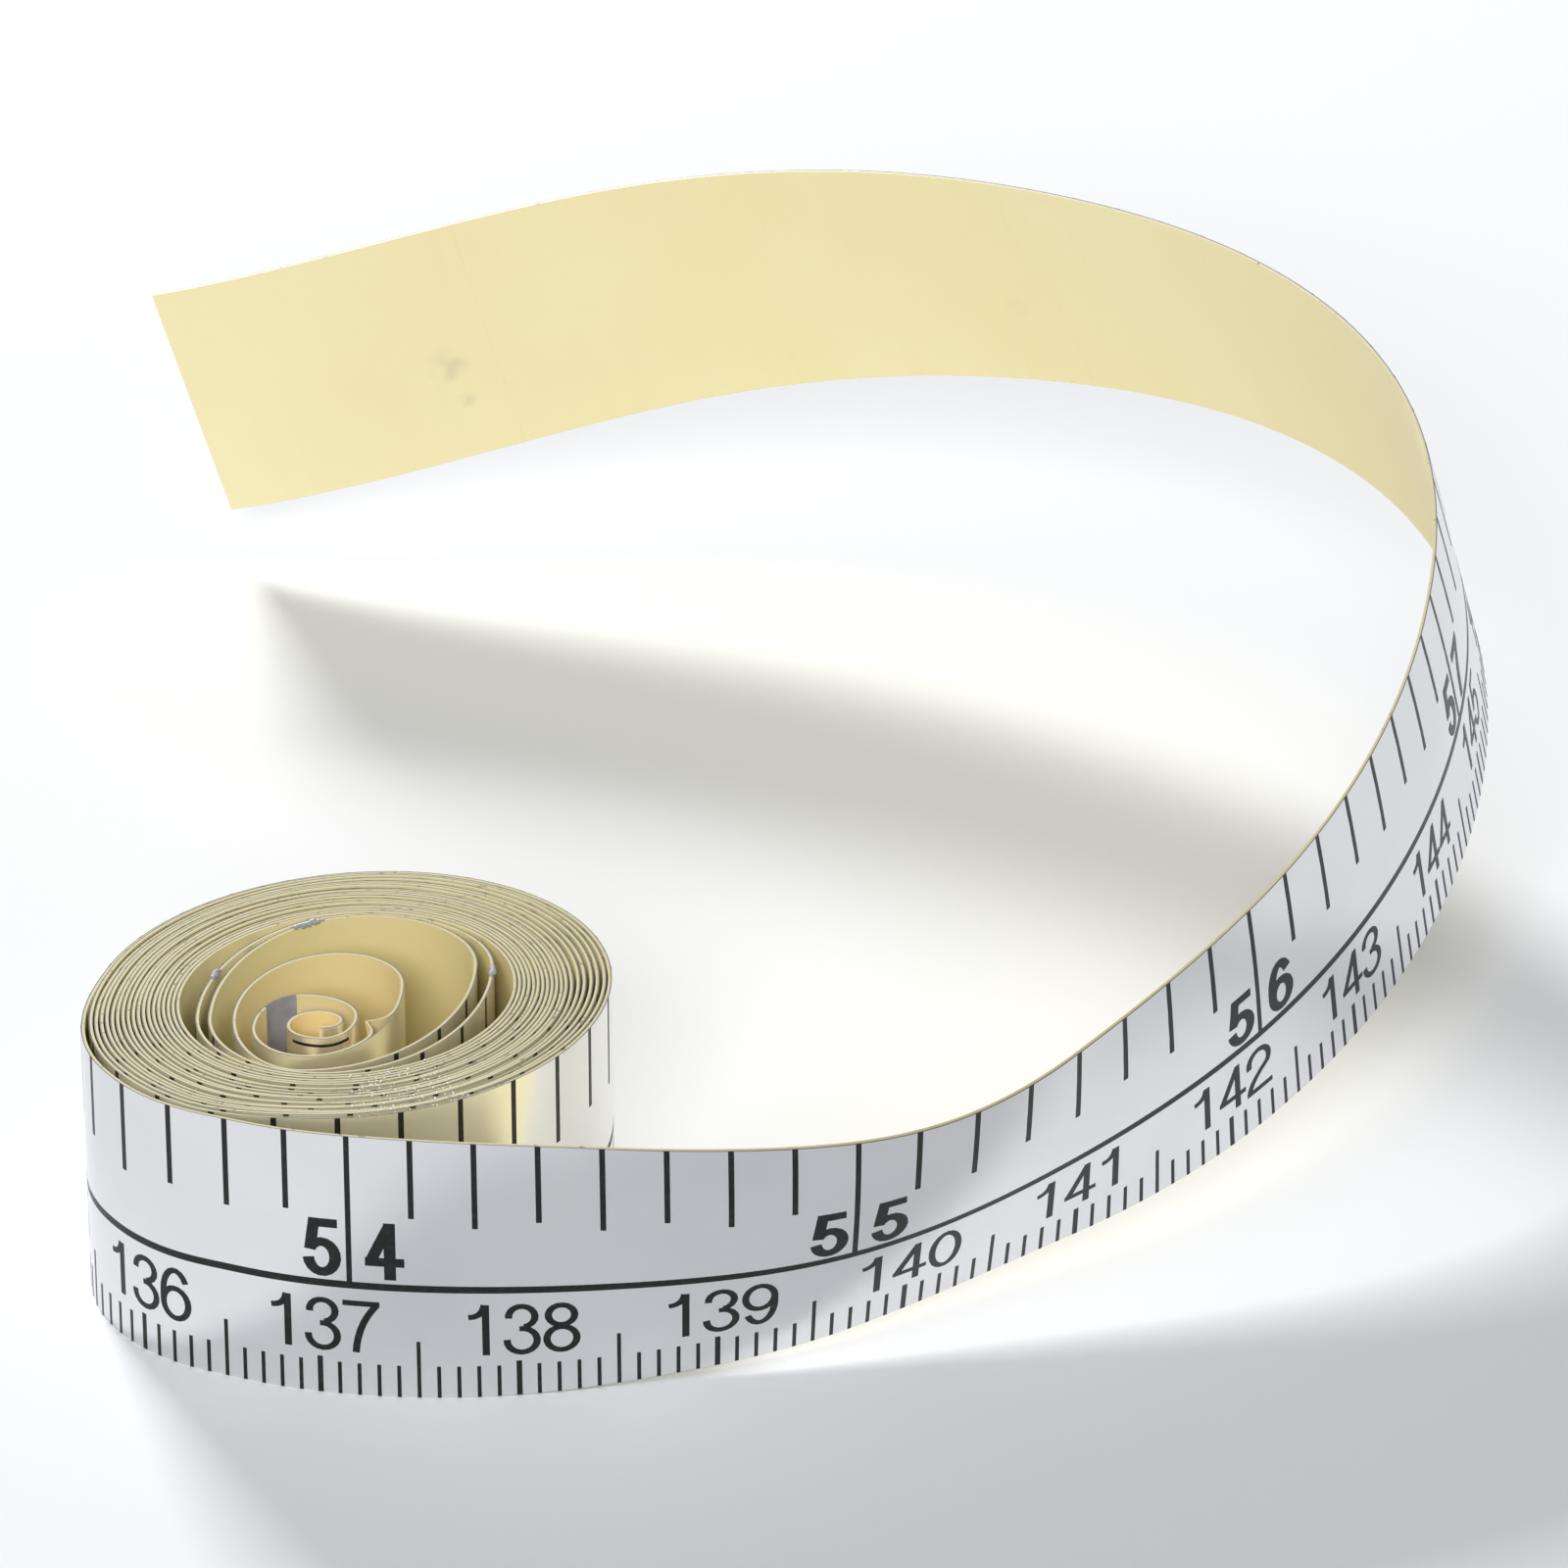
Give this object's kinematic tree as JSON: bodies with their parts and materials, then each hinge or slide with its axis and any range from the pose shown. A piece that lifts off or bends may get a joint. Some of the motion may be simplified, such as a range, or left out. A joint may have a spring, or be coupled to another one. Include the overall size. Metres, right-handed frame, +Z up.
{
  "type": "adhesive tape measure",
  "caption": "Self-adhesive measuring tape on its edge: silver film with inch and centimetre scales on a yellow release liner, wound in a coil with its free end sprung out in an arc.",
  "frame": {"origin": "under the middle of the tape's box, on the surface that its lower edge stands on", "axes": "+Z up along the coil's axis and the tape's width, +X along the tape where it leaves the coil, +Y from the coil towards the far side of the free arc"},
  "size_m": [0.0742, 0.094, 0.0312],
  "materials": {
    "face_film": "silver metallised film, glossy, printed in black",
    "adhesive": "thin tacky coat, glossy where the liner is lifted",
    "release_liner": "pale yellow coated paper, matte"
  },
  "bodies": {
    "coil": {"face_film_coil": "face_film", "adhesive_coil": "adhesive", "release_liner_coil": "release_liner"},
    "inch_54": {"face_film_inch_54": "face_film", "adhesive_inch_54": "adhesive", "release_liner_inch_54": "release_liner"},
    "inch_55": {"face_film_inch_55": "face_film", "adhesive_inch_55": "adhesive", "release_liner_inch_55": "release_liner"},
    "inch_56": {"face_film_inch_56": "face_film", "adhesive_inch_56": "adhesive", "release_liner_inch_56": "release_liner"},
    "inch_57": {"face_film_inch_57": "face_film", "adhesive_inch_57": "adhesive", "release_liner_inch_57": "release_liner"},
    "inch_58": {"face_film_inch_58": "face_film", "adhesive_inch_58": "adhesive", "release_liner_inch_58": "release_liner"},
    "inch_59": {"face_film_inch_59": "face_film", "adhesive_inch_59": "adhesive", "release_liner_inch_59": "release_liner"},
    "inch_60": {"face_film_inch_60": "face_film", "adhesive_inch_60": "adhesive", "release_liner_inch_60": "release_liner"},
    "liner_tab": {"liner_peel_tab": "release_liner"}
  },
  "joints": [
    {"name": "flex_54", "type": "hinge", "parent": "coil", "child": "inch_54", "pos_m": [-0.02221, -0.04486, 0.0075], "axis": [0, 0, 1], "range_deg": [-14, 0.8], "stiffness_Nm_per_rad": 0.0028},
    {"name": "flex_55", "type": "hinge", "parent": "inch_54", "child": "inch_55", "pos_m": [0.00289, -0.04332, 0.00805], "axis": [0.0374, -0.387, 0.9213], "range_deg": [-30.8, 1.76], "stiffness_Nm_per_rad": 0.0028},
    {"name": "flex_56", "type": "hinge", "parent": "inch_55", "child": "inch_56", "pos_m": [0.02343, -0.02976, 0.01296], "axis": [-0.0769, -0.2709, 0.9595], "range_deg": [-26.6, 1.52], "stiffness_Nm_per_rad": 0.0028},
    {"name": "flex_57", "type": "hinge", "parent": "inch_56", "child": "inch_57", "pos_m": [0.03454, -0.00834, 0.01952], "axis": [-0.1897, -0.2078, 0.9596], "range_deg": [-30.8, 1.76], "stiffness_Nm_per_rad": 0.0028},
    {"name": "flex_58", "type": "hinge", "parent": "inch_57", "child": "inch_58", "pos_m": [0.03176, 0.01597, 0.02394], "axis": [-0.2966, -0.2175, 0.9299], "range_deg": [-35, 2], "stiffness_Nm_per_rad": 0.0028},
    {"name": "flex_59", "type": "hinge", "parent": "inch_58", "child": "inch_59", "pos_m": [0.01533, 0.03481, 0.0229], "axis": [-0.3156, -0.2199, 0.9231], "range_deg": [-22.4, 1.28], "stiffness_Nm_per_rad": 0.0028},
    {"name": "flex_60", "type": "hinge", "parent": "inch_59", "child": "inch_60", "pos_m": [-0.0071, 0.04489, 0.0179], "axis": [-0.2751, -0.1105, 0.955], "range_deg": [-23.8, 1.36], "stiffness_Nm_per_rad": 0.0028},
    {"name": "liner_peel", "type": "hinge", "parent": "inch_60", "child": "liner_tab", "pos_m": [-0.01774, 0.04538, 0.01492], "axis": [-0.2733, -0.0672, 0.9596], "range_deg": [0, 110], "stiffness_Nm_per_rad": 0.0005}
  ],
  "couplings": [
    {"joint": "flex_55", "follows": "flex_54", "ratio": 2.2},
    {"joint": "flex_56", "follows": "flex_54", "ratio": 1.9},
    {"joint": "flex_57", "follows": "flex_54", "ratio": 2.2},
    {"joint": "flex_58", "follows": "flex_54", "ratio": 2.5},
    {"joint": "flex_59", "follows": "flex_54", "ratio": 1.6},
    {"joint": "flex_60", "follows": "flex_54", "ratio": 1.7}
  ]
}
